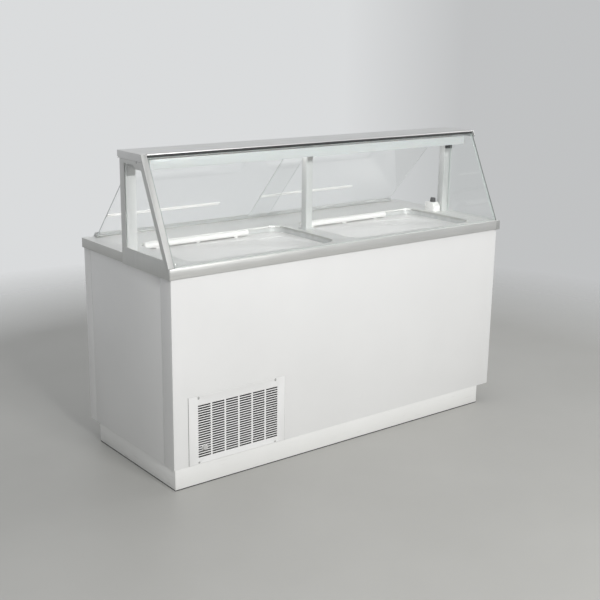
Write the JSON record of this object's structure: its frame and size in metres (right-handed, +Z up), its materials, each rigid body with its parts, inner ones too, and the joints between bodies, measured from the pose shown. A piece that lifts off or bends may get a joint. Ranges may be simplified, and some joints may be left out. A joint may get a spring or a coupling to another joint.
{
  "type": "ice cream dipping cabinet",
  "caption": "White chest freezer for scooped ice cream: steel worktop with lidded openings, sloping glass guard with a canopy lamp, sliding rear panels and a front grille.",
  "frame": {"origin": "centre of the footprint on the floor, midway between the end plates and between the worktop's front and rear edges", "axes": "+X along the length, to the right as the customer faces the grille side; +Y from the customer side to the server side; +Z up"},
  "size_m": [1.73, 0.693, 1.249],
  "materials": {
    "body_white": "smooth white powder coat, satin",
    "dark_steel": "matte black paint",
    "zinc_steel": "galvanised, dull",
    "foam": "rigid polyurethane foam",
    "liner_white": "white enamel, semi-gloss",
    "breaker_white": "moulded white plastic, satin",
    "copper": "bare copper tube",
    "black_rubber": "matte",
    "wire_steel": "bright plated steel",
    "stainless": "fine satin brush, warm grey",
    "lid_white": "moulded white plastic, satin",
    "handle_white": "bright white, semi-gloss",
    "post_white": "white powder coat, satin",
    "black_plastic": "fine texture",
    "grey_plastic": "light grey, satin",
    "satin_aluminium": "satin anodised",
    "clear_glass": "clear toughened glass, faint green edge",
    "clear_acrylic": "clear acrylic sheet",
    "lamp_white": "translucent white",
    "fin_aluminium": "plain, dusty",
    "black_enamel": "gloss black"
  },
  "bodies": {
    "cabinet": {"kick_front": "body_white", "kick_sides": "body_white", "kick_rear": "body_white", "base_rails": "dark_steel", "bottom_pan": "zinc_steel", "front_panel": "body_white", "left_side_panel": "body_white", "right_side_panel": "body_white", "rear_panel": "body_white", "rear_vent_cover": "body_white", "compartment_lining": "zinc_steel", "insulation_foam": "foam", "tank_liner": "liner_white", "evaporator_coil": "copper", "throat_left": "breaker_white", "throat_right": "breaker_white", "lid_seals": "black_rubber", "can_rack_left": "wire_steel", "can_rack_right": "wire_steel", "worktop": "stainless", "lid_hinge_rods": "wire_steel", "left_post": "post_white", "centre_post": "post_white", "right_post": "post_white", "lamp_brackets": "black_plastic", "left_end_frame": "satin_aluminium", "right_end_skirt": "satin_aluminium", "left_end_glass": "clear_glass", "right_end_glass": "clear_glass", "canopy_top": "stainless", "glass_seals": "black_rubber", "front_glass": "clear_glass", "lamp_housing": "lamp_white", "lamp_diffuser": "lamp_white", "lamp_switch_box": "handle_white", "rear_track_top": "satin_aluminium", "rear_track_bottom": "satin_aluminium", "grille_panel": "body_white", "screws": "wire_steel", "thermostat": "black_plastic", "condenser": "fin_aluminium", "fan_shroud": "zinc_steel", "fan_motor": "dark_steel", "compressor": "black_enamel", "refrigerant_pipes": "copper", "service_box": "grey_plastic", "drain_fitting": "wire_steel"},
    "lid_left_body": {"lid_left": "lid_white", "lid_handle_left": "handle_white", "lid_knuckles_left": "lid_white"},
    "lid_right_body": {"lid_right": "lid_white", "lid_handle_right": "handle_white", "lid_knuckles_right": "lid_white"},
    "rear_panel_left_body": {"rear_glass_left": "clear_acrylic", "rear_pull_left": "handle_white"},
    "rear_panel_right_body": {"rear_glass_right": "clear_acrylic", "rear_pull_right": "handle_white"},
    "fan": {"fan_blade": "fin_aluminium"},
    "thermostat_dial": {"thermostat_knob": "grey_plastic"},
    "lamp_switch": {"lamp_switch_knob": "black_plastic"}
  },
  "joints": [
    {"name": "left_lid_hinge", "type": "hinge", "parent": "cabinet", "child": "lid_left_body", "pos_m": [-0.391, -0.28, 0.842], "axis": [1, 0, 0], "range_deg": [0, 56]},
    {"name": "right_lid_hinge", "type": "hinge", "parent": "cabinet", "child": "lid_right_body", "pos_m": [0.391, -0.28, 0.842], "axis": [1, 0, 0], "range_deg": [0, 56]},
    {"name": "rear_left_slide", "type": "slide", "parent": "cabinet", "child": "rear_panel_left_body", "axis": [1, 0, 0], "range_m": [0, 0.752]},
    {"name": "rear_right_slide", "type": "slide", "parent": "cabinet", "child": "rear_panel_right_body", "axis": [-1, 0, 0], "range_m": [0, 0.752]},
    {"name": "fan_spin", "type": "hinge", "parent": "cabinet", "child": "fan", "pos_m": [-0.532, -0.26, 0.218], "axis": [0, 1, 0], "continuous": true},
    {"name": "thermostat_turn", "type": "hinge", "parent": "cabinet", "child": "thermostat_dial", "pos_m": [-0.719, -0.34, 0.147], "axis": [0, -1, 0], "range_deg": [-270, 0]},
    {"name": "lamp_switch_turn", "type": "hinge", "parent": "cabinet", "child": "lamp_switch", "pos_m": [0.783, 0.006, 0.88], "axis": [0, 0, 1], "range_deg": [-90, 0]}
  ]
}
